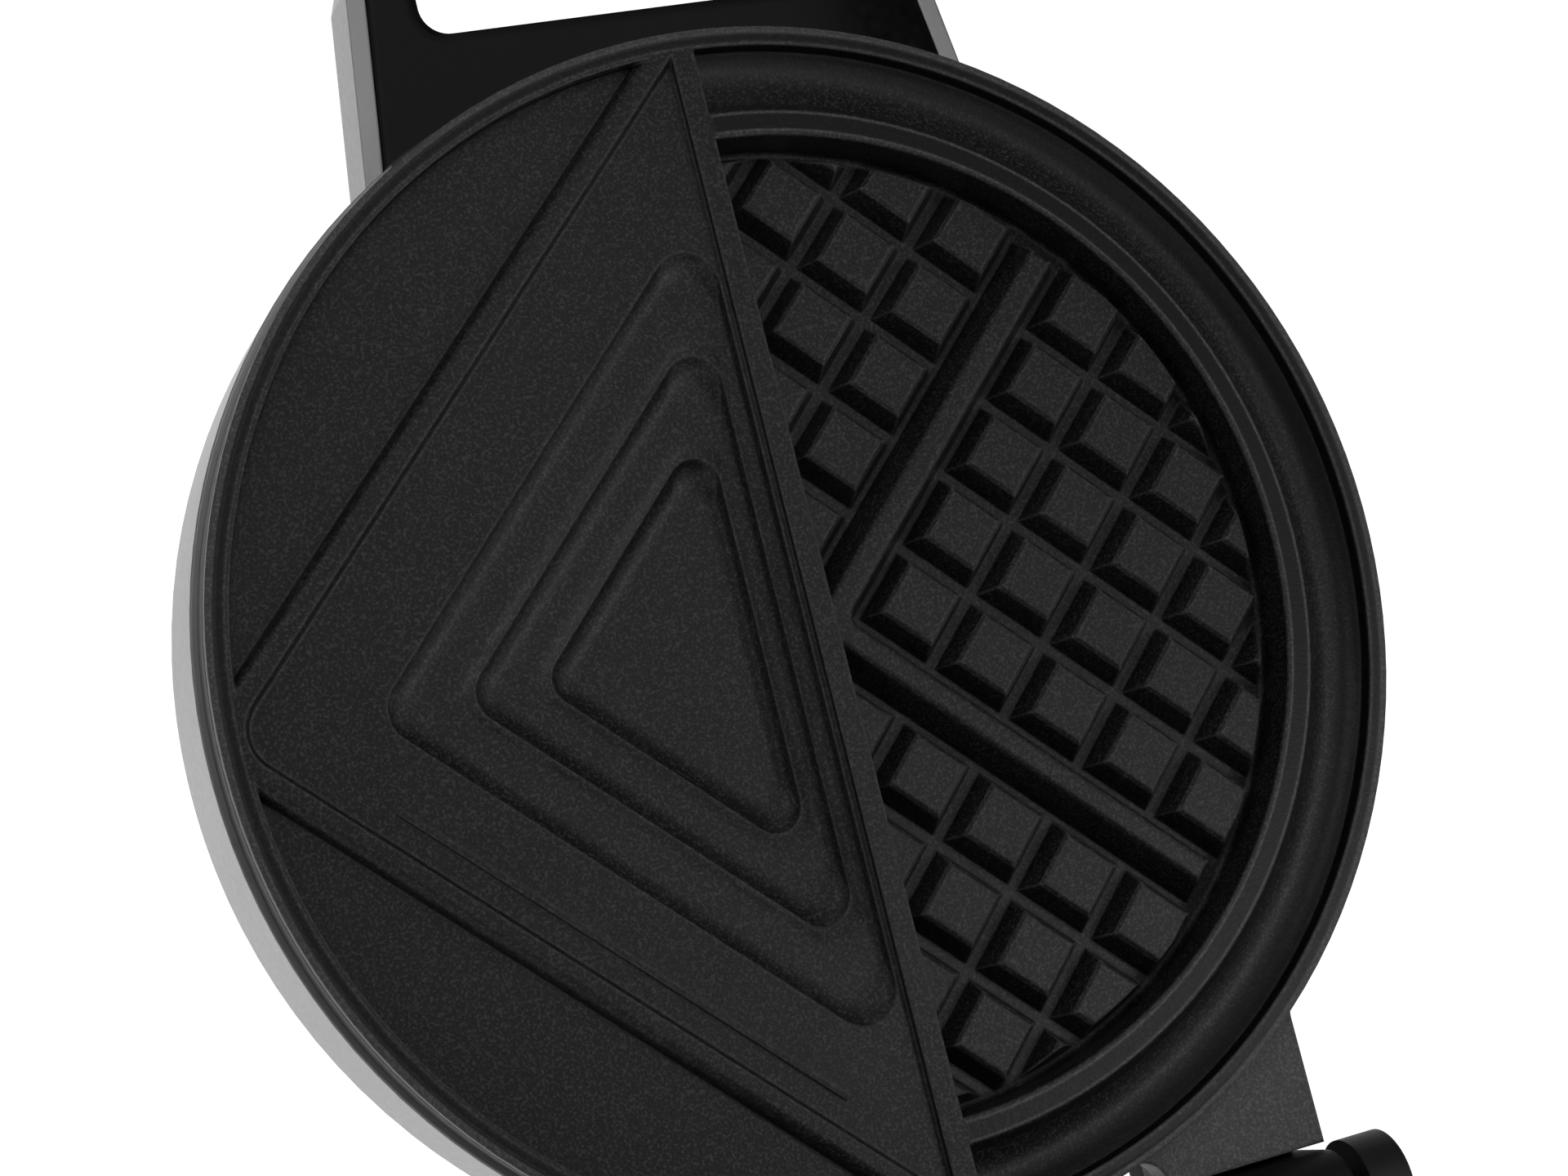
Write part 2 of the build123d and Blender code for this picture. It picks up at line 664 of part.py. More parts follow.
with BuildPart() as lid_cover:
    with BuildSketch(Plane.XZ):
        with BuildLine():
            Line((0, -cover_top), (cover_radius, -cover_top))
            Line((cover_radius, -cover_top), (cover_radius, cover_corner - cover_depth))
            shoulder = (cover_radius - 0.3 * cover_corner, 0.3 * cover_corner - cover_depth)
            crown_edge = (cover_radius - cover_corner, -cover_depth)
            ThreePointArc((cover_radius, cover_corner - cover_depth), shoulder, crown_edge)
            Line(crown_edge, (0, -cover_depth - cover_crown))
            Line((0, -cover_depth - cover_crown), (0, -cover_top))
        make_face()
    revolve(axis=Axis.Z)
    add(handle_skin.part)
    with BuildSketch(Plane.XZ):
        with BuildLine():
            inner_floor = cover_wall - cover_depth
            inner_corner = cover_corner - cover_wall
            Line((0, above_rim), (cover_inner, above_rim))
            Line((cover_inner, above_rim), (cover_inner, inner_floor + inner_corner))
            inner_shoulder = (cover_inner - 0.3 * inner_corner, inner_floor + 0.3 * inner_corner)
            inner_edge = (cover_inner - inner_corner, inner_floor)
            ThreePointArc((cover_inner, inner_floor + inner_corner), inner_shoulder, inner_edge)
            Line(inner_edge, (0, inner_floor))
            Line((0, inner_floor), (0, above_rim))
        make_face()
    revolve(axis=Axis.Z, mode=Mode.SUBTRACT)
    cavity_inset = face_inset - part_gap
    add(handle_block(cavity_inset, handle_round / 2 - handle_depth, 0), mode=Mode.SUBTRACT)
    add(slot_block(slot_wall + seat_gap, -handle_depth - 1, 0), mode=Mode.SUBTRACT)
    notch = both_sides(lug_inner - 0.5, lug_outer + 0.5, -lug_end, -lug_outer, -arm_back - 0.5, 0)
    add(notch, mode=Mode.SUBTRACT)
    post_low = cover_wall - cover_depth - 0.4
    with BuildSketch(Plane.XY.offset(-board_drop - board_thickness)):
        with Locations((-board_length / 2 + 4, lens_at), (board_length / 2 - 4, lens_at)):
            Circle(2.6)
    extrude(amount=post_low + board_drop + board_thickness)
    with BuildSketch(Plane.XY.offset(-cover_depth - cover_crown - 1)):
        with Locations((-lens_spread, lens_at), (lens_spread, lens_at)):
            Circle(lens_radius + seat_gap)
    extrude(amount=8, mode=Mode.SUBTRACT)
    # Two ears at the handle's tip carry the latch
    with BuildSketch(hinge_line.offset(-latch_half - latch_ear_width)) as ear:
        with Locations((latch_pivot_at, -latch_pivot_drop)):
            Circle(latch_barrel_radius)
        with Locations((handle_tip_at - 1.0, -latch_pivot_drop)):
            ear_reach = latch_pivot_at - handle_tip_at + 1.0
            Rectangle(ear_reach, 2 * latch_barrel_radius, align=(Align.MIN, Align.CENTER))
    extrude(amount=latch_ear_width - part_gap)
    with BuildSketch(hinge_line.offset(latch_half + part_gap)):
        with Locations((latch_pivot_at, -latch_pivot_drop)):
            Circle(latch_barrel_radius)
        with Locations((handle_tip_at - 1.0, -latch_pivot_drop)):
            Rectangle(ear_reach, 2 * latch_barrel_radius, align=(Align.MIN, Align.CENTER))
    extrude(amount=latch_ear_width - part_gap)
    with BuildSketch(hinge_line.offset(-latch_half - latch_ear_width - 1)):
        with Locations((latch_pivot_at, -latch_pivot_drop)):
            Circle(latch_pin_radius + 0.02)
    extrude(amount=2 * (latch_half + latch_ear_width + 1), mode=Mode.SUBTRACT)

# Lid frame: band under the rim, ledge for the plate, handle face and hinge arms
skirt_outer = cover_inner - seat_gap
skirt_inner = body_radius + part_gap
frame_turned = [
    (skirt_inner, -flange_thickness - part_gap),
    (rim_radius, -flange_thickness - part_gap),
    (rim_radius, -band_bottom),
    (skirt_outer, -band_bottom),
    (skirt_outer, -skirt_bottom),
    (skirt_inner, -skirt_bottom),
    (skirt_inner, -ledge_seat),
    (ledge_radius, -ledge_seat),
    (ledge_radius, -plate_thickness - part_gap),
    (skirt_inner, -plate_thickness - part_gap),
]
with BuildPart() as lid_frame:
    add(handle_block(face_inset, -face_drop - face_thickness, -face_drop))
    add(disc(skirt_inner, -face_drop - face_thickness, -face_drop), mode=Mode.SUBTRACT)
    add(ring_solid(frame_turned))
    add(slot_block(slot_wall, -handle_depth, -face_drop))
    add(slot_block(slot_recess, -face_drop - slot_recess_depth, 0), mode=Mode.SUBTRACT)
    add(slot_block(0, -handle_depth - 1, 0), mode=Mode.SUBTRACT)
    web_low = lug_middle - lug_width / 2 - web_reach - part_gap
    web_high = lug_middle + lug_width / 2 + web_reach + part_gap
    web_notch = both_sides(web_low, web_high, -lug_end, part_gap - lug_outer, -cover_top, 0)
    add(web_notch, mode=Mode.SUBTRACT)
    lug_low = -plate_thickness - part_gap
    lug_notch = both_sides(lug_inner - part_gap, lug_outer + part_gap, -lug_end, -lug_outer, lug_low, 0)
    add(lug_notch, mode=Mode.SUBTRACT)
    for start in (-arm_outer, arm_inner):
        with BuildSketch(hinge_line.offset(start)):
            with Locations((-hinge_offset, 0)):
                Circle(barrel_radius)
            arm_top = -plate_thickness - part_gap
            with BuildLine():
                Polyline(
                    (barrel_radius - hinge_offset, -1.0),
                    (barrel_radius - hinge_offset, arm_top),
                    (-arm_front, arm_top),
                    (-arm_front, -arm_back),
                    (-lug_end, -arm_back),
                    (-hinge_offset - 5.0, -barrel_radius - 2.0),
                    (-hinge_offset - barrel_radius + 0.2, -1.5),
                    close=True,
                )
            make_face()
        extrude(amount=arm_outer - arm_inner)
    with BuildSketch(hinge_line.offset(-arm_outer - 1)):
        with Locations((-hinge_offset, 0)):
            Circle(hinge_pin_radius + running_clearance)
    extrude(amount=2 * arm_outer + 2, mode=Mode.SUBTRACT)
    with BuildSketch(Plane.XY.offset(-ledge_seat)):
        with Locations(*ledge_spots):
            Circle(screw_radius + seat_gap)
    extrude(amount=ledge_thickness, mode=Mode.SUBTRACT)

# Latch clip, drawn hooked, then turned clear about its pin
hook_level = base_handle_top + lip_thickness + part_gap
with BuildPart() as latch_hooked:
    with BuildSketch(hinge_line.offset(-latch_half)):
        with Locations((latch_pivot_at, -latch_pivot_drop)):
            Circle(latch_barrel_radius)
        with BuildLine():
            outer_face = latch_pivot_at + latch_barrel_radius
            inner_face = outer_face - latch_plate
            hook_end = inner_face - latch_hook
            Polyline(
                (outer_face, -latch_pivot_drop),
                (outer_face, hook_level + latch_plate),
                (hook_end, hook_level + latch_plate),
                (hook_end, hook_level),
                (inner_face, hook_level - 0.6),
                (inner_face, -latch_pivot_drop),
                close=True,
            )
        make_face()
    extrude(amount=2 * latch_half)
    with BuildSketch(hinge_line.offset(-latch_half - 1)):
        with Locations((latch_pivot_at, -latch_pivot_drop)):
            Circle(latch_pin_radius + running_clearance)
    extrude(amount=2 * latch_half + 2, mode=Mode.SUBTRACT)

latch_axis = Axis((0, latch_pivot_at, -latch_pivot_drop), (-1, 0, 0))
latch_clip = latch_hooked.part.rotate(latch_axis, latch_free_angle)

with BuildPart() as latch_pin:
    pin_half = latch_half + latch_ear_width
    with BuildSketch(hinge_line.offset(-pin_half)):
        with Locations((latch_pivot_at, -latch_pivot_drop)):
            Circle(latch_pin_radius)
    extrude(amount=2 * pin_half)

# Lamp windows and their board
lens_plane = Plane.XY.offset(-cover_depth - cover_crown / 2)
lens_seat = cover_wall - cover_depth + seat_gap


def lens(side):
    with BuildPart() as window:
        with BuildSketch(lens_plane):
            with Locations((side * lens_spread, lens_at)):
                Circle(lens_radius)
        extrude(amount=cover_depth + cover_crown / 2 + lens_seat)
        chamfer(window.edges().group_by(Axis.Z)[0], length=0.6)
        with BuildSketch(Plane.XY.offset(lens_seat)):
            with Locations((side * lens_spread, lens_at)):
                Circle(lens_flange)
        extrude(amount=1.2)
    return window.part


with BuildPart() as lamp_board:
    with BuildSketch(Plane.XY.offset(-board_drop - board_thickness + seat_gap)):
        with Locations((0, lens_at)):
            RectangleRounded(board_length, board_width, 1.5)
    extrude(amount=board_thickness)
    with BuildSketch(Plane.XY.offset(-board_drop - board_thickness + seat_gap)):
        with Locations((-lens_spread, lens_at), (lens_spread, lens_at)):
            Circle(2.4)
    extrude(amount=-2.6)

# Base housing: a round shell with a ledge for the plate
housing_inner = cover_radius - base_wall
base_turned = [
    (skirt_inner, -flange_thickness - part_gap),
    (rim_radius, -flange_thickness - part_gap),
    (rim_radius, -band_bottom),
    (cover_radius, -band_bottom),
    (cover_radius, -base_corner_height),
    (base_corner_radius, -base_depth),
    (base_opening, -base_depth),
    (base_opening, base_wall - base_depth),
    (base_corner_radius - 1.2, base_wall - base_depth),
    (housing_inner, 0.9 - base_corner_height),
    (housing_inner, -ledge_seat),
    (ledge_radius, -ledge_seat),
    (ledge_radius, -plate_thickness - part_gap),
    (skirt_inner, -plate_thickness - part_gap),
]
block_spots = [(-foot_rear_x, -foot_rear_y), (foot_rear_x, -foot_rear_y)]
foot_spots = boss_spots(foot_ring, (45, 135)) + block_spots
cover_spots = boss_spots(bottom_cover_radius - 3.0, (20, 160, 200, 340))


def rear_block(inset, low, high):
    with BuildPart() as block:
        with BuildSketch(Plane.XY.offset(low)) as outline:
            with Locations((0, inset - block_rear)):
                Rectangle(
                    2 * (block_half - inset),
                    block_rear - block_front - 2 * inset,
                    align=(Align.CENTER, Align.MIN),
                )
            rear = outline.vertices().group_by(Axis.Y)[0]
            fillet(rear, radius=block_corner - inset)
        extrude(amount=high - low)
    return block.part


with BuildPart() as base_housing:
    add(ring_solid(base_turned))
    with BuildSketch(Plane.XY.offset(-ledge_seat)):
        with Locations(*ledge_spots):
            Circle(screw_radius + seat_gap)
    extrude(amount=ledge_thickness, mode=Mode.SUBTRACT)
    with BuildSketch(Plane.XY.offset(-base_depth)):
        with Locations(*foot_spots[:2]):
            Circle(foot_stem_radius + seat_gap / 2)
        with Locations(*cover_spots):
            Circle(screw_radius + seat_gap / 2)
    extrude(amount=base_wall, mode=Mode.SUBTRACT)
    with BuildSketch(Plane.XZ.offset(base_corner_radius - 4)):
        with Locations((0, -gland_drop)):
            Circle(cord_passage)
    extrude(amount=base_corner_inset + 8, mode=Mode.SUBTRACT)

# Lower handle: a hollow grip with a hand slot and a lip for the latch
wall_joint = cover_radius + seat_gap
lip_bottom = -base_handle_top - lip_thickness
with BuildPart() as base_handle:
    add(handle_block(0, -base_handle_depth, -base_handle_top))
    add(disc(wall_joint, -base_handle_depth, 0), mode=Mode.SUBTRACT)
    hollow = handle_block(base_wall, -base_handle_depth, -base_handle_top - base_wall)
    hollow = hollow - disc(wall_joint + base_wall, -base_handle_depth, 0) - slot_block(slot_wall, -base_handle_depth, 0)
    tip_keep = slab(
        -lip_cut_half - base_wall,
        lip_cut_half + base_wall,
        handle_tip_at - lip_cut_length - base_wall,
        handle_tip_at,
        -base_handle_depth,
        0,
    )
    add(hollow - tip_keep, mode=Mode.SUBTRACT)
    add(slot_block(0, -base_handle_depth - 1, 0), mode=Mode.SUBTRACT)
    lip_cut = slab(
        -lip_cut_half,
        lip_cut_half,
        handle_tip_at - lip_cut_length,
        handle_tip_at + 1,
        -base_handle_depth - 1,
        lip_bottom,
    )
    add(lip_cut, mode=Mode.SUBTRACT)

# Hinge block behind the base ring, open towards it, with two ears for the hinge pins
with BuildPart() as hinge_block:
    add(rear_block(0, -base_depth, -block_top))
    add(disc(wall_joint, -base_depth, -block_top), mode=Mode.SUBTRACT)
    add(rear_block(base_wall, base_wall - base_depth, -block_top - base_wall), mode=Mode.SUBTRACT)
    for start in (-ear_outer, ear_inner):
        with BuildSketch(hinge_line.offset(start)):
            with Locations((-hinge_offset, 0)):
                Circle(ear_radius)
            with BuildLine():
                Polyline(
                    (ear_radius - hinge_offset, 0),
                    (ear_radius - hinge_offset + 3, -block_top),
                    (-block_rear + 0.5, -block_top),
                    (-hinge_offset - ear_radius, 0),
                    close=True,
                )
            make_face()
        extrude(amount=ear_outer - ear_inner)
    with BuildSketch(hinge_line.offset(-ear_outer - 1)):
        with Locations((-hinge_offset, 0)):
            Circle(hinge_pin_radius + 0.02)
    extrude(amount=2 * ear_outer + 2, mode=Mode.SUBTRACT)
    with BuildSketch(Plane.XY.offset(-base_depth)):
        with Locations(*block_spots):
            Circle(foot_stem_radius + seat_gap / 2)
    extrude(amount=base_wall, mode=Mode.SUBTRACT)
    with BuildSketch(Plane.XZ.offset(block_rear - base_wall - 1)):
        with Locations((0, -gland_drop)):
            Circle(gland_radius + seat_gap)
    extrude(amount=base_wall + 2, mode=Mode.SUBTRACT)

with BuildPart() as base_cover:
    with BuildSketch(Plane.XY.offset(-base_depth)):
        Circle(bottom_cover_radius)
    extrude(amount=-bottom_cover_thickness)
    lower_rim = base_cover.edges().group_by(Axis.Z)[0]
    chamfer(lower_rim, length=0.8)
    with BuildSketch(Plane.XY.offset(-base_depth)):
        with Locations((-vent_length, 0), (vent_length, 0)):
            with GridLocations(1, vent_pitch, 1, vent_rows):
                SlotOverall(vent_length, vent_width)
    extrude(amount=-bottom_cover_thickness, mode=Mode.SUBTRACT)
    with BuildSketch(Plane.XY.offset(-base_depth)):
        with Locations(*cover_spots):
            Circle(screw_radius + seat_gap)
    extrude(amount=-bottom_cover_thickness, mode=Mode.SUBTRACT)

cover_seat = base_depth + bottom_cover_thickness
cover_screws = screw_set(cover_spots, cover_seat, bottom_cover_thickness + base_wall)

with BuildPart() as feet:
    with BuildSketch(Plane.XY.offset(-parting_height)):
        with Locations(*foot_spots):
            Circle(foot_radius)
    extrude(amount=foot_height)
    chamfer(feet.edges().group_by(Axis.Z)[0], length=0.8)
    with BuildSketch(Plane.XY.offset(-base_depth)):
        with Locations(*foot_spots):
            Circle(foot_stem_radius)
    extrude(amount=foot_stem)

with BuildPart() as hinge_pins:
    for start in (-ear_outer, arm_inner + 4.0):
        with BuildSketch(hinge_line.offset(start)):
            with Locations((-hinge_offset, 0)):
                Circle(hinge_pin_radius)
        extrude(amount=ear_outer - arm_inner - 4.0)
    for start in (-ear_outer - 1.5, ear_outer):
        with BuildSketch(hinge_line.offset(start)):
            with Locations((-hinge_offset, 0)):
                Circle(hinge_pin_radius + 2.0)
        extrude(amount=1.5)

# Cord inlet, terminal block and cord clamp
with BuildPart() as cord_gland:
    with BuildSketch(Plane.XZ.offset(block_rear - base_wall)):
        with Locations((0, -gland_drop)):
            Circle(gland_radius)
    extrude(amount=base_wall)
    with BuildSketch(Plane.XZ.offset(block_rear - base_wall)):
        with Locations((0, -gland_drop)):
            Circle(gland_flange)
    extrude(amount=-2.0)
    with BuildSketch(Plane.XZ.offset(block_rear)):
        with Locations((0, -gland_drop)):
            Circle(gland_flange - 1.0)
    extrude(amount=2.0)
    with BuildSketch(Plane.XZ.offset(block_rear + 2.0)):
        with Locations((0, -gland_drop)):
            Circle(gland_radius - 0.5)
    extrude(amount=gland_nose, taper=5)
    for ring in range(3):
        with BuildSketch(Plane.XZ.offset(block_rear + 4.5 + 4.0 * ring)):
            with Locations((0, -gland_drop)):
                Circle(gland_radius)
                Circle(gland_radius - 1.8, mode=Mode.SUBTRACT)
        extrude(amount=1.4, mode=Mode.SUBTRACT)
    with BuildSketch(Plane.XZ.offset(block_rear - base_wall - 3)):
        with Locations((0, -gland_drop)):
            Circle(gland_bore)
    extrude(amount=gland_nose + base_wall + 8, mode=Mode.SUBTRACT)

floor_level = base_wall - base_depth
with BuildPart() as terminal_block:
    with BuildSketch(Plane.XY.offset(floor_level)):
        with Locations((0, -terminal_at)):
            RectangleRounded(terminal_length, terminal_width, 1.5)
    extrude(amount=terminal_height)
    top_face = Plane.XY.offset(floor_level + terminal_height)
    with BuildSketch(top_face):
        with Locations((0, -terminal_at)):
            with GridLocations(terminal_length / 3, terminal_width / 2, 3, 2):
                Circle(2.2)
    extrude(amount=-terminal_height / 2, mode=Mode.SUBTRACT)

clamp_at = wall_joint + base_wall + 1.4
cord_rise = -floor_level - gland_drop
with BuildPart() as cord_clamp:
    with BuildSketch(Plane.XZ.offset(clamp_at)):
        with Locations((0, floor_level)):
            Rectangle(cord_bar_width, cord_rise + cord_bar_top, align=(Align.CENTER, Align.MIN))
        with Locations((0, -gland_drop)):
            Circle(gland_bore, mode=Mode.SUBTRACT)
        with Locations((0, floor_level)):
            Rectangle(
                cord_bar_arch,
                cord_rise - gland_bore - cord_bar_web,
                align=(Align.CENTER, Align.MIN),
                mode=Mode.SUBTRACT,
            )
    extrude(amount=3.0)

# Placing: the lid leans back on its hinge, the base faces up
tilt = radians(180 - open_angle)
towards_handle = Vector(0, cos(tilt), sin(tilt))
out_of_lid = Vector(0, -sin(tilt), cos(tilt))
hinge_point = Vector(0, hinge_offset, parting_height)
lid_plane = Plane(
    origin=hinge_point + towards_handle * hinge_offset,
    x_dir=(1, 0, 0),
    z_dir=out_of_lid,
)
base_plane = Plane(origin=(0, 0, parting_height), x_dir=(-1, 0, 0), z_dir=(0, 0, 1))

lid_nodes = {
    "lid_cover": lid_cover.part,
    "lid_frame": lid_frame.part,
    "upper_plate": upper_plate.part,
    "upper_element": element.part,
    "upper_clamps": clamps.part,
    "upper_heat_shield": heat_shield.part,
    "upper_plate_screws": plate_screws.part,
    "upper_fuse": fuse.part,
    "lens_power": lens(-1),
    "lens_ready": lens(1),
    "lamp_board": lamp_board.part,
    "latch_clip": latch_clip,
    "latch_pin": latch_pin.part,
}
base_nodes = {
    "base_housing": base_housing.part,
    "base_handle": base_handle.part,
    "hinge_block": hinge_block.part,
    "base_cover": base_cover.part,
    "lower_plate": lower_plate.part,
    "lower_element": element.part,
    "lower_clamps": clamps.part,
    "lower_heat_shield": heat_shield.part,
    "lower_plate_screws": plate_screws.part,
    "lower_fuse": fuse.part,
    "thermostat": thermostat.part,
    "thermostat_screws": thermostat_screws,
    "terminal_block": terminal_block.part,
    "cord_clamp": cord_clamp.part,
    "cord_gland": cord_gland.part,
    "hinge_pins": hinge_pins.part,
    "feet": feet.part,
    "cover_screws": cover_screws,
}

placed = {}
for place, nodes in ((lid_plane, lid_nodes), (base_plane, base_nodes)):
    for name, shape in nodes.items():
        placed[name] = place.location * shape

# The origin lies on the table at the middle of the open appliance's footprint
boxes = [shape.bounding_box() for shape in placed.values()]
footprint_front = min(box.min.Y for box in boxes)
footprint_rear = max(box.max.Y for box in boxes)
footprint_middle = (footprint_front + footprint_rear) / 2
to_origin = Location((0, -footprint_middle, 0))
print("disc centre at Y", -footprint_middle)

os.makedirs("parts", exist_ok=True)
for name, shape in placed.items():
    node = to_origin * shape
    node.label = name
    export_step(node, "parts/" + name + ".step")
    print(name, round(node.volume / 1000, 2), "cm3")
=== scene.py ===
import json
from math import cos, pi, radians, sin

import bmesh
import bpy
from mathutils import Matrix, Vector

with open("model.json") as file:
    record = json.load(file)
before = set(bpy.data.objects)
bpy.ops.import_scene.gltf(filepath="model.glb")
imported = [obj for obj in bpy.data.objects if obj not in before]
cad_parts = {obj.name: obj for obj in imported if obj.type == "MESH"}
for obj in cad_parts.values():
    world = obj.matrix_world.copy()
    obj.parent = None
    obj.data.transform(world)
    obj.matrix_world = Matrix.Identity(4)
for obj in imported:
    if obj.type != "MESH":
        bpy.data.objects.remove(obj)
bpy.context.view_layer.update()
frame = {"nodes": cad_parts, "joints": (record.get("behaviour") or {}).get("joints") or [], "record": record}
nodes = frame["nodes"]
hinge = next(j for j in frame["joints"] if j["name"] == "lid_hinge")
HINGE = Vector(hinge["pos_m"])

# Lid axes at rest: across, towards the handle, out of the cooking face
LEAN = radians(75.0)
ACROSS = Vector((1.0, 0.0, 0.0))
ALONG = Vector((0.0, cos(LEAN), sin(LEAN)))
OUT = Vector((0.0, -sin(LEAN), cos(LEAN)))
# From the hinge to the middle of a plate, in metres
REACH = 0.1145


def lid_point(u, v, w):
    """A point of the lid in millimetres: across, towards the handle, out of the face."""
    return HINGE + ACROSS * (u / 1000) + ALONG * (REACH + v / 1000) + OUT * (w / 1000)


# Camera, fitted to the rim's ellipse and the grid of cells; its axes are in those of the lid
camera_data = bpy.data.cameras.new("camera")
camera = bpy.data.objects.new("camera", camera_data)
bpy.context.scene.collection.objects.link(camera)
camera_data.sensor_width = 36.0
camera_data.lens = 67.5
camera_data.clip_start = 0.01
camera_data.clip_end = 50.0
lid_axes = Matrix((ACROSS, ALONG, OUT)).transposed()
view_right = lid_axes @ Vector((0.9159, -0.2420, 0.3202))
view_up = lid_axes @ Vector((0.1899, 0.9641, 0.1854))
view_back = lid_axes @ Vector((-0.3536, -0.1090, 0.9290))
view_from = lid_point(-181.3, -46.6, 456.5)
turn = Matrix((view_right, view_up, view_back)).transposed().to_quaternion().normalized().to_matrix()
camera.matrix_world = Matrix.Translation(view_from) @ turn.to_4x4()
bpy.context.scene.camera = camera


# Node helpers
class Shader:
    """A new material, with short ways to add nodes to it."""

    def __init__(self, name):
        self.material = bpy.data.materials.new(name)
        self.material.use_nodes = True
        self.tree = self.material.node_tree
        self.tree.nodes.clear()
        self.output = self.add("ShaderNodeOutputMaterial")
        self.place = self.add("ShaderNodeTexCoord").outputs["Object"]

    def add(self, kind, **values):
        node = self.tree.nodes.new(kind)
        for key, value in values.items():
            setattr(node, key, value)
        return node

    def link(self, a, b):
        self.tree.links.new(a, b)

    def noise(self, scale, detail, rough, stretch=None):
        node = self.add("ShaderNodeTexNoise")
        node.inputs["Scale"].default_value = scale
        node.inputs["Detail"].default_value = detail
        node.inputs["Roughness"].default_value = rough
        source = self.place
        if stretch:
            mapping = self.add("ShaderNodeMapping")
            mapping.inputs["Scale"].default_value = stretch
            self.link(self.place, mapping.inputs["Vector"])
            source = mapping.outputs["Vector"]
        self.link(source, node.inputs["Vector"])
        return node.outputs["Fac"]

    def ramp(self, fac, *stops):
        node = self.add("ShaderNodeValToRGB")
        elements = node.color_ramp.elements
        while len(elements) < len(stops):
            elements.new(0.5)
        for element, (at, value) in zip(elements, stops):
            element.position = at
            rgb = (value, value, value) if isinstance(value, float) else value
            element.color = (*rgb, 1.0)
        self.link(fac, node.inputs["Fac"])
        return node.outputs["Color"]

    def bump(self, height, strength, distance, normal=None):
        node = self.add("ShaderNodeBump")
        node.inputs["Strength"].default_value = strength
        node.inputs["Distance"].default_value = distance
        self.link(height, node.inputs["Height"])
        if normal:
            self.link(normal, node.inputs["Normal"])
        return node.outputs["Normal"]

    def rounded(self, radius):
        node = self.add("ShaderNodeBevel", samples=4)
        node.inputs["Radius"].default_value = radius
        return node.outputs["Normal"]

    def principled(self, color, rough, normal, **values):
        node = self.add("ShaderNodeBsdfPrincipled")
        for key, value in values.items():
            node.inputs[key.replace("_", " ")].default_value = value
        self.link(color, node.inputs["Base Color"])
        self.link(rough, node.inputs["Roughness"])
        self.link(normal, node.inputs["Normal"])
        self.link(node.outputs["BSDF"], self.output.inputs["Surface"])


def measure(s, axis, start):
    """Distance from a point along an axis, in metres."""
    shift = s.add("ShaderNodeVectorMath", operation="SUBTRACT")
    s.link(s.place, shift.inputs[0])
    shift.inputs[1].default_value = start
    node = s.add("ShaderNodeVectorMath", operation="DOT_PRODUCT")
    s.link(shift.outputs[0], node.inputs[0])
    node.inputs[1].default_value = axis
    return node.outputs["Value"]


def radius_of(s, first, second):
    """Distance from an axis, from two distances across it."""
    flat = s.add("ShaderNodeCombineXYZ")
    s.link(first, flat.inputs["X"])
    s.link(second, flat.inputs["Y"])
    length = s.add("ShaderNodeVectorMath", operation="LENGTH")
    s.link(flat.outputs[0], length.inputs[0])
    return length.outputs["Value"]


def mix_color(s, fac, a, b, blend="MIX"):
    """A blend of two colours by a number or a linked factor."""
    node = s.add("ShaderNodeMix", data_type="RGBA", blend_type=blend)
    if isinstance(fac, float):
        node.inputs["Factor"].default_value = fac
    else:
        s.link(fac, node.inputs["Factor"])
    s.link(a, node.inputs["A"])
    s.link(b, node.inputs["B"])
    return node.outputs["Result"]


def profile(s, value, low, high, *stops):
    """A ramp over a length in metres, from low to high."""
    node = s.add("ShaderNodeMapRange")
    node.inputs["From Min"].default_value = low
    node.inputs["From Max"].default_value = high
    s.link(value, node.inputs["Value"])
    return s.ramp(node.outputs["Result"], *[((at - low) / (high - low), tone) for at, tone in stops])


# Radii in metres: the edges of the crest, where the painted shade on the moat's wall towards the rim starts
# and is full, the edges of the rim, and the span over which the rings' painted shade and highlights are
# drawn
CREST_INNER = 0.0859
CREST_OUTER = 0.0891
MOAT_SHADE_START = 0.0945
MOAT_SHADE_FULL = 0.0985
RIM_INNER = 0.1017
RIM_OUTER = 0.1038
RING_LOW = 0.084
RING_HIGH = 0.106


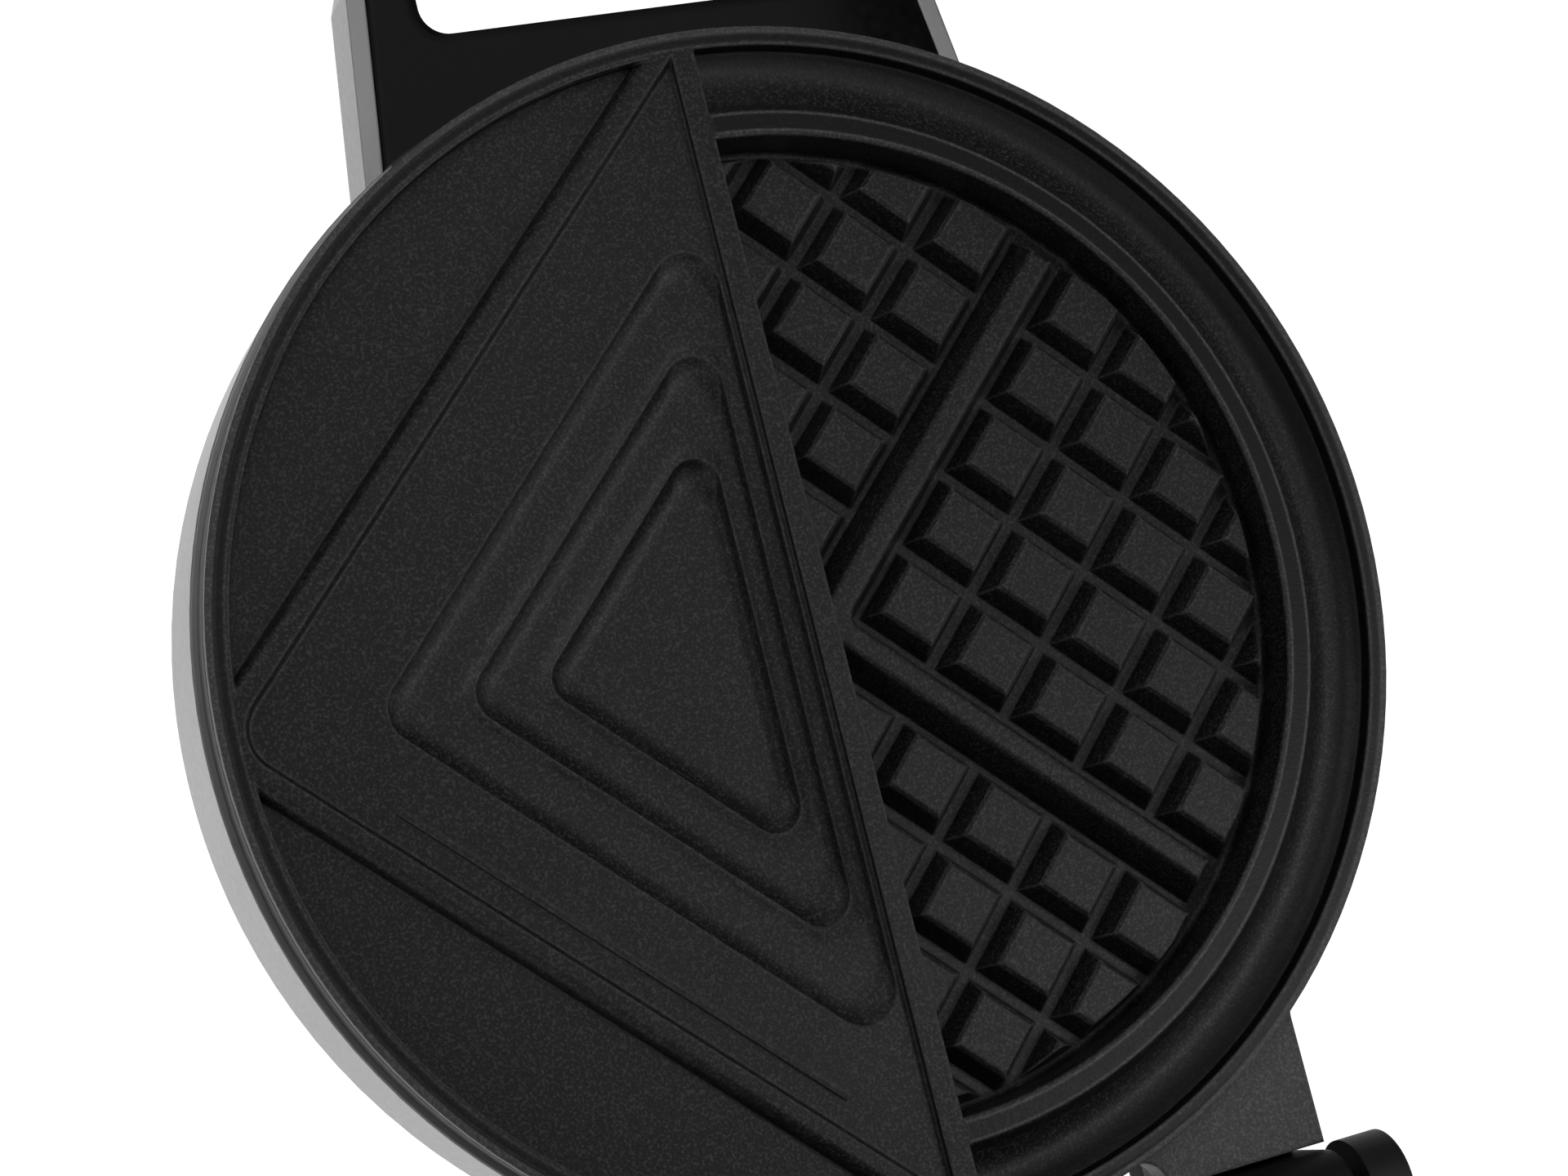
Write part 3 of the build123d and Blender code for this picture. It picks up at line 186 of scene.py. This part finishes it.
def coating(name, centre, first, second):
    """Charcoal non-stick lacquer with fine pale specks, painted highlights along its corners and ring edges,
    and painted shade on the rim, crest and moat.
    """
    s = Shader(name)
    fine = s.noise(1900.0, 2.0, 0.6)
    cloud = s.noise(45.0, 3.0, 0.5)
    ground = s.ramp(cloud, (0.3, 0.0058), (0.7, 0.0078))
    specks = s.ramp(fine, (0.48, 0.0), (0.70, 0.026))
    color = mix_color(s, 1.0, ground, specks, "ADD")

    # Painted shade: the rolled rim and the crest's top are darker between their edges, and so is the moat's
    # wall towards the rim
    across = measure(s, first, centre)
    reach = radius_of(s, across, measure(s, second, centre))

    def ring_tone(*stops):
        return profile(s, reach, RING_LOW, RING_HIGH, *stops)

    waffle = profile(s, across, 0.0, 0.01, (0.0002, 0.0), (0.0010, 1.0))
    crest = ring_tone(
        (CREST_INNER - 0.0001, 1.0), (CREST_INNER + 0.0005, 0.15),
        (CREST_OUTER - 0.0005, 0.15), (CREST_OUTER + 0.0001, 1.0),
    )
    moat_shade = ring_tone(
        (MOAT_SHADE_START, 1.0), (MOAT_SHADE_FULL, 0.25),
        (RIM_INNER - 0.0005, 0.25), (RIM_INNER + 0.0001, 1.0),
    )
    rim = ring_tone(
        (RIM_INNER + 0.0001, 1.0), (RIM_INNER + 0.0007, 0.30),
        (RIM_OUTER - 0.0004, 0.30), (RIM_OUTER + 0.0002, 1.0),
    )
    white = s.ramp(fine, (0.0, 0.96), (1.0, 1.0))
    ring = mix_color(s, waffle, white, mix_color(s, 1.0, crest, moat_shade, "MULTIPLY"))
    # The painted shade is multiplied into the lacquer's colour
    color = mix_color(s, 1.0, color, mix_color(s, 1.0, ring, rim, "MULTIPLY"), "MULTIPLY")
    # Painted highlights: thin light strokes along the crest's edges on the waffle side and along the rim's
    # edges
    crest_highlights = ring_tone(
        (CREST_INNER - 0.0003, 0.0), (CREST_INNER, 1.0), (CREST_INNER + 0.0004, 0.0),
        (CREST_OUTER - 0.0003, 0.0), (CREST_OUTER, 1.0), (CREST_OUTER + 0.0003, 0.0),
    )
    rim_highlights = ring_tone(
        (RIM_INNER - 0.0003, 0.0), (RIM_INNER, 0.5), (RIM_INNER + 0.0004, 0.0),
        (RIM_OUTER - 0.0004, 0.0), (RIM_OUTER, 1.0), (RIM_OUTER + 0.0008, 0.6),
    )
    painted_highlights = mix_color(s, 1.0, mix_color(s, 1.0, crest_highlights, waffle, "MULTIPLY"), rim_highlights, "ADD")

    # Painted highlight: where the rounded normal leaves the true one, the corner is painted lighter too
    soft = s.rounded(0.0008)
    facing = s.add("ShaderNodeVectorMath", operation="DOT_PRODUCT")
    s.link(soft, facing.inputs[0])
    s.link(s.add("ShaderNodeNewGeometry").outputs["Normal"], facing.inputs[1])
    edge_highlight = s.ramp(facing.outputs["Value"], (0.86, 1.0), (0.995, 0.0))
    painted_highlights = mix_color(s, 1.0, painted_highlights, edge_highlight, "ADD")
    # The painted highlights add a pale speckled tone to the lacquer's colour
    highlight_tone = s.ramp(fine, (0.3, 0.030), (0.7, 0.050))
    color = mix_color(s, 1.0, color, mix_color(s, 1.0, painted_highlights, highlight_tone, "MULTIPLY"), "ADD")
    rough = s.ramp(fine, (0.35, 0.38), (0.7, 0.31))
    normal = s.bump(fine, 0.35, 0.00012, soft)
    s.principled(color, rough, normal, Specular_IOR_Level=0.14)
    return s.material


def moulded(name, ground, rough_low, rough_high, grain, strength, specular=0.5):
    """Moulded plastic or rubber with a faint grain."""
    s = Shader(name)
    fine = s.noise(grain, 3.0, 0.6)
    cloud = s.noise(30.0, 2.0, 0.5)
    low = tuple(c * 0.88 for c in ground)
    color = s.ramp(cloud, (0.3, low), (0.7, ground))
    rough = s.ramp(fine, (0.3, rough_low), (0.7, rough_high))
    normal = s.bump(fine, strength, 0.0001, s.rounded(0.0005))
    s.principled(color, rough, normal, Specular_IOR_Level=specular)
    return s.material


def frame_plastic():
    """The lid's black plastic: polished handle face, a rim band painted lighter grey as a painted
    reflection, dull hinge arms.
    """
    s = Shader("gloss_black")
    # The band's radius and the top of the hinge arms, in metres
    band_edge = 0.1070
    arm_top = 0.019
    centre = lid_point(0, 0, 0)
    reach = radius_of(s, measure(s, ACROSS, centre), measure(s, ALONG, centre))
    height = measure(s, ALONG, HINGE)
    band = profile(s, reach, 0.1, 0.11, (band_edge - 0.0002, 1.0), (band_edge + 0.0002, 0.0))
    low = profile(s, height, 0.0, 0.1, (arm_top - 0.003, 1.0), (arm_top + 0.003, 0.0))
    fine = s.noise(500.0, 3.0, 0.6)
    polished = s.ramp(fine, (0.3, 0.0020), (0.7, 0.0026))
    # Painted reflection: the band round the plate is the same gloss plastic, painted a lighter grey
    satin = s.ramp(fine, (0.3, 0.038), (0.7, 0.044))
    dull = s.ramp(fine, (0.3, 0.0035), (0.7, 0.0050))
    color = mix_color(s, low, mix_color(s, band, polished, satin), dull)
    smooth = s.ramp(fine, (0.3, 0.08), (0.7, 0.12))
    soft = s.ramp(fine, (0.3, 0.34), (0.7, 0.40))
    rough = mix_color(s, low, mix_color(s, band, smooth, soft), s.ramp(fine, (0.3, 0.50), (0.7, 0.60)))
    normal = s.bump(fine, 0.03, 0.0001, s.rounded(0.0018))
    s.principled(color, rough, normal, Specular_IOR_Level=0.11)
    return s.material


def metal(name, ground, rough_low, rough_high, stretch, radius=0.0004, metallic=1.0, crown=False):
    """Drawn or lacquered sheet metal with fine streaks."""
    s = Shader(name)
    streak = s.noise(900.0, 3.0, 0.6, stretch)
    cloud = s.noise(18.0, 2.0, 0.5)
    low = tuple(c * 0.9 for c in ground)
    color = s.ramp(cloud, (0.3, low), (0.7, ground))
    rough = s.ramp(streak, (0.3, rough_low), (0.7, rough_high))
    soft = s.rounded(radius)
    if crown:
        # The crown of the lid is flat at its middle, where the facets meet in a point
        flat_radius = 0.018
        curved_radius = 0.034
        centre = lid_point(0, 0, 0)
        reach = radius_of(s, measure(s, ACROSS, centre), measure(s, ALONG, centre))
        flat = s.add(
            "ShaderNodeVectorTransform", vector_type="NORMAL", convert_from="OBJECT", convert_to="WORLD"
        )
        flat.inputs["Vector"].default_value = -OUT
        outside = profile(s, reach, 0.0, 0.06, (flat_radius, 0.0), (curved_radius, 1.0))
        soft = mix_color(s, outside, flat.outputs["Vector"], soft)
    normal = s.bump(streak, 0.08, 0.00008, soft)
    s.principled(color, rough, normal, Metallic=metallic)
    return s.material


def window(name, color):
    """Tinted clear plastic of a lamp window."""
    s = Shader(name)
    fine = s.noise(600.0, 2.0, 0.5)
    low = tuple(c * 0.7 for c in color)
    tint = s.ramp(fine, (0.3, low), (0.7, color))
    rough = s.ramp(fine, (0.3, 0.06), (0.7, 0.12))
    s.principled(tint, rough, s.bump(fine, 0.05, 0.0001), Transmission_Weight=0.35, IOR=1.49)
    return s.material


NO_STRETCH = (1.0, 1.0, 1.0)
looks = {
    "nonstick": coating("nonstick_upper", lid_point(0, 0, 0), ACROSS, ALONG),
    "gloss_black": frame_plastic(),
    "matte_black": moulded("matte_black", (0.007, 0.007, 0.0075), 0.42, 0.55, 1800.0, 0.25, specular=0.16),
    "satin_silver": metal(
        "satin_silver", (0.245, 0.245, 0.248), 0.32, 0.40, NO_STRETCH,
        radius=0.0006, metallic=0.85, crown=True,
    ),
    "zinc_steel": metal("zinc_steel", (0.52, 0.52, 0.53), 0.28, 0.42, (6.0, 1.0, 1.0)),
    "element_steel": metal("element_steel", (0.16, 0.14, 0.12), 0.35, 0.55, NO_STRETCH),
    "thermostat_metal": metal("thermostat_metal", (0.5, 0.5, 0.51), 0.25, 0.35, (1.0, 6.0, 1.0)),
    "fuse_body": moulded("fuse_body", (0.6, 0.58, 0.5), 0.3, 0.4, 900.0, 0.05),
    "board": moulded("board", (0.1, 0.17, 0.07), 0.35, 0.5, 900.0, 0.1),
    "white_plastic": moulded("white_plastic", (0.7, 0.7, 0.67), 0.35, 0.5, 1200.0, 0.1),
    "soft_black": moulded("soft_black", (0.008, 0.008, 0.008), 0.5, 0.65, 1400.0, 0.3, specular=0.2),
    "foot_rubber": moulded("foot_rubber", (0.02, 0.02, 0.02), 0.6, 0.75, 1500.0, 0.35),
    "red_lens": window("red_lens", (0.55, 0.03, 0.02)),
    "green_lens": window("green_lens", (0.03, 0.4, 0.07)),
}
# The lower plate lies level, as far in front of the hinge as the lid reaches
FRONT = Vector((0.0, -1.0, 0.0))
lower_coating = coating("nonstick_lower", HINGE + FRONT * REACH, ACROSS, FRONT)
for part in frame["record"]["subparts"]:
    piece = nodes[part["node"]]
    look = lower_coating if part["node"] == "lower_plate" else looks[part["material_slot"]]
    piece.data.materials.clear()
    piece.data.materials.append(look)


# Stage: a pale floor that curves up behind the object
def stage_material():
    """White to the eye, with painted shade close by the object's place, so that the object's shadow shows.
    """
    s = Shader("stage_white")
    ray = s.add("ShaderNodeLightPath")
    grain = s.ramp(s.noise(3.0, 2.0, 0.5), (0.0, 0.985), (1.0, 1.0))
    away = s.add("ShaderNodeVectorMath", operation="LENGTH")
    s.link(s.place, away.inputs[0])
    # Painted shade: the floor's glow is dimmed towards the object's place
    painted_shade_near = profile(s, away.outputs["Value"], 0.0, 2.0, (0.25, 0.80), (1.3, 0.985))
    seen = mix_color(s, 1.0, grain, painted_shade_near, "MULTIPLY")
    seen_light = s.add("ShaderNodeEmission")
    seen_light.inputs["Strength"].default_value = 1.0
    s.link(seen, seen_light.inputs["Color"])
    shade = s.add("ShaderNodeBsdfDiffuse")
    shade.inputs["Color"].default_value = (0.55, 0.55, 0.55, 1.0)
    both = s.add("ShaderNodeAddShader")
    s.link(seen_light.outputs[0], both.inputs[0])
    s.link(shade.outputs[0], both.inputs[1])
    bounce = s.add("ShaderNodeBsdfDiffuse")
    bounce.inputs["Color"].default_value = (0.78, 0.78, 0.78, 1.0)
    seen_ray = ray.outputs["Is Camera Ray"]
    for other in ("Is Glossy Ray", "Is Transmission Ray"):
        either = s.add("ShaderNodeMath", operation="MAXIMUM")
        s.link(seen_ray, either.inputs[0])
        s.link(ray.outputs[other], either.inputs[1])
        seen_ray = either.outputs[0]
    mix = s.add("ShaderNodeMixShader")
    s.link(seen_ray, mix.inputs["Fac"])
    s.link(bounce.outputs[0], mix.inputs[1])
    s.link(both.outputs[0], mix.inputs[2])
    s.link(mix.outputs[0], s.output.inputs["Surface"])
    return s.material


def sweep_stage():
    """A wide floor with a wall behind, joined by a bend, in metres."""
    half = 30.0
    front = -2.0
    back = 2.2
    bend = 0.9
    height = 4.5
    steps = 12
    line = [(-half, 0.0), (front, 0.0), (back - bend, 0.0)]
    for i in range(1, steps + 1):
        a = pi / 2 * i / steps
        line.append((back - bend + bend * sin(a), bend - bend * cos(a)))
    line.append((back, height))
    mesh = bmesh.new()
    rows = [[mesh.verts.new((x, y, z)) for x in (-half, half)] for y, z in line]
    for a, b in zip(rows, rows[1:]):
        mesh.faces.new((a[0], a[1], b[1], b[0])).smooth = True
    data = bpy.data.meshes.new("stage")
    mesh.to_mesh(data)
    mesh.free()
    stage = bpy.data.objects.new("stage", data)
    bpy.context.scene.collection.objects.link(stage)
    data.materials.append(stage_material())


sweep_stage()


# Light
def area_light(name, at, aim, size, power):
    """A soft box at a place in metres, turned to a point, with its power in watts."""
    data = bpy.data.lights.new(name, "AREA")
    data.shape = "RECTANGLE"
    data.size, data.size_y = size
    data.energy = power
    light = bpy.data.objects.new(name, data)
    bpy.context.scene.collection.objects.link(light)
    light.location = at
    light.rotation_euler = (aim - Vector(at)).to_track_quat("-Z", "Y").to_euler()


lid_middle = lid_point(0, 0, 0)
for name, at, size, power in (
    ("key", (0.65, -0.90, 0.20), (0.50, 0.20), 2.50),
    ("front", (0.36, -0.95, 0.59), (0.50, 0.50), 1.45),
    ("side", (0.99, -0.44, 0.48), (0.60, 0.40), 1.50),
    ("front_high", (0.24, -0.71, 1.00), (0.50, 0.50), 0.70),
    ("front_left", (-0.36, -0.77, 0.89), (0.50, 0.50), 2.50),
    ("top", (0.18, -0.08, 1.31), (0.60, 0.60), 1.10),
    ("top_left", (-0.48, -0.27, 1.19), (0.50, 0.50), 0.65),
    ("left", (-1.06, -0.33, 0.52), (0.50, 0.50), 1.55),
    ("rim", (-0.40, 1.00, 1.20), (1.20, 0.50), 9.00),
):
    area_light(name, at, lid_middle, size, power)

world = bpy.data.worlds.new("studio")
bpy.context.scene.world = world
world.use_nodes = True
background = world.node_tree.nodes["Background"]
background.inputs["Color"].default_value = (1.0, 1.0, 1.0, 1.0)
background.inputs["Strength"].default_value = 0.04

bpy.context.scene.view_settings.view_transform = "Standard"
